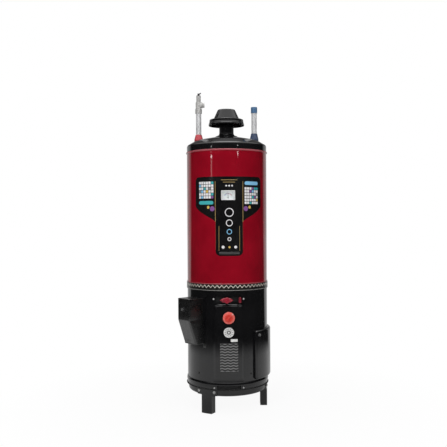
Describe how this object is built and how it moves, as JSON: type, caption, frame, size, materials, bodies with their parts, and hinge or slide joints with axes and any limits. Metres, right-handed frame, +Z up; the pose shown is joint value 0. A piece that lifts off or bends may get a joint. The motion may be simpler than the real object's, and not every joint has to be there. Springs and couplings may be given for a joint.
{
  "type": "storage water heater",
  "caption": "Floor-standing gas storage water heater with a red upper and a black lower jacket, conical top, draft hood, control knob, burner door and sheet-metal legs.",
  "frame": {"origin": "on the tank's axis at floor level, the centre of the three floor-fixing holes", "axes": "+Z up along the tank, front with the knob towards -Y, burner door towards +X"},
  "size_m": [0.4578, 0.4348, 1.5711],
  "materials": {
    "black_enamel": "glossy black stove enamel",
    "red_enamel": "glossy dark red enamel with a printed front",
    "band_print": "black band with a pale printed pattern",
    "red_plastic": "glossy red moulding",
    "blue_plastic": "satin blue moulding",
    "galvanised": "galvanised pipe",
    "zinc": "zinc-plated fasteners",
    "valve_chrome": "plated valve body",
    "black_plastic": "matt black moulding",
    "grey_plastic": "pale grey moulding",
    "gauge_frame": "bright pressed frame",
    "dial_card": "pale dial card",
    "gauge_glass": "clear lens",
    "tank_steel": "enamelled tank steel",
    "foam": "insulating blanket",
    "gas_brass": "brass gas fittings",
    "control_cast": "die-cast body",
    "burner_iron": "cast burner",
    "ceramic": "glazed white ceramic",
    "lead_rubber": "rubber-covered lead",
    "dip_plastic": "natural plastic tube"
  },
  "bodies": {
    "heater": {"leg_front": "black_enamel", "leg_right": "black_enamel", "leg_rear": "black_enamel", "base_pan": "black_enamel", "base_ring": "black_enamel", "lower_jacket": "black_enamel", "front_panel": "black_enamel", "ignition_box": "black_enamel", "hinge_leaf": "black_enamel", "top_cover": "black_enamel", "flue_neck": "black_enamel", "draft_hood": "black_enamel", "hood_straps": "black_enamel", "upper_jacket": "red_enamel", "deco_band": "band_print", "hot_collar": "red_plastic", "cold_collar": "blue_plastic", "hot_pipe": "galvanised", "cold_pipe": "galvanised", "leg_bolts": "zinc", "case_screws": "zinc", "hinge_pin": "zinc", "relief_pin": "zinc", "relief_valve": "valve_chrome", "piezo_igniter": "black_plastic", "thermometer_case": "gauge_frame", "thermometer_dial": "dial_card", "thermometer_lens": "gauge_glass", "tank_shell": "tank_steel", "tank_heads": "tank_steel", "flue_tube": "tank_steel", "flue_baffle": "tank_steel", "firebox": "tank_steel", "insulation": "foam", "burner_pipe": "gas_brass", "pilot_burner": "gas_brass", "thermocouple": "gas_brass", "thermostat_probe": "gas_brass", "gas_inlet_pipe": "gas_brass", "gas_nipple": "gas_brass", "gas_control": "control_cast", "pilot_tube": "control_cast", "anode_rod": "control_cast", "burner_head": "burner_iron", "burner_tube": "burner_iron", "burner_stand": "burner_iron", "spark_electrode": "ceramic", "ignition_lead": "lead_rubber", "dip_tube": "dip_plastic"},
    "knob": {"control_knob": "red_plastic", "knob_spindle": "zinc"},
    "gas_cock": {"gas_lever": "red_plastic"},
    "pilot_push": {"pilot_button": "red_plastic"},
    "spark_push": {"igniter_button": "grey_plastic"},
    "door": {"burner_door": "black_enamel"},
    "latch": {"door_latch": "zinc"},
    "needle": {"thermometer_needle": "black_plastic"},
    "test_lever": {"relief_lever": "black_plastic"},
    "cap": {"inlet_cap": "blue_plastic"}
  },
  "joints": [
    {"name": "knob_turn", "type": "hinge", "parent": "heater", "child": "knob", "pos_m": [0, -0.2083, 0.464], "axis": [0, -1, 0], "range_deg": [0, 270]},
    {"name": "gas_cock_turn", "type": "hinge", "parent": "heater", "child": "gas_cock", "pos_m": [-0.01, -0.2078, 0.548], "axis": [0, -1, 0], "range_deg": [0, 90]},
    {"name": "pilot_press", "type": "slide", "parent": "heater", "child": "pilot_push", "axis": [0, 1, 0], "range_m": [0, 0.006], "stiffness_N_per_m": 300},
    {"name": "spark_press", "type": "slide", "parent": "heater", "child": "spark_push", "axis": [0.766, 0.6428, 0], "range_m": [0, 0.005], "stiffness_N_per_m": 600},
    {"name": "door_swing", "type": "hinge", "parent": "heater", "child": "door", "pos_m": [0.18774, 0.08955, 0.2765], "axis": [0, 0, 1], "range_deg": [0, 100]},
    {"name": "latch_turn", "type": "hinge", "parent": "door", "child": "latch", "pos_m": [0.14869, -0.15668, 0.373], "axis": [-0.6884, 0.7254, 0], "range_deg": [0, 90]},
    {"name": "needle_swing", "type": "hinge", "parent": "heater", "child": "needle", "pos_m": [0, -0.195, 1.0345], "axis": [0, -1, 0], "range_deg": [-55, 55], "stiffness_Nm_per_rad": 0.0002},
    {"name": "test_lift", "type": "hinge", "parent": "heater", "child": "test_lever", "pos_m": [-0.14, 0, 1.561], "axis": [0, -1, 0], "range_deg": [0, 55]},
    {"name": "cap_lift", "type": "slide", "parent": "heater", "child": "cap", "axis": [0, 0, 1], "range_m": [0, 0.06]}
  ]
}
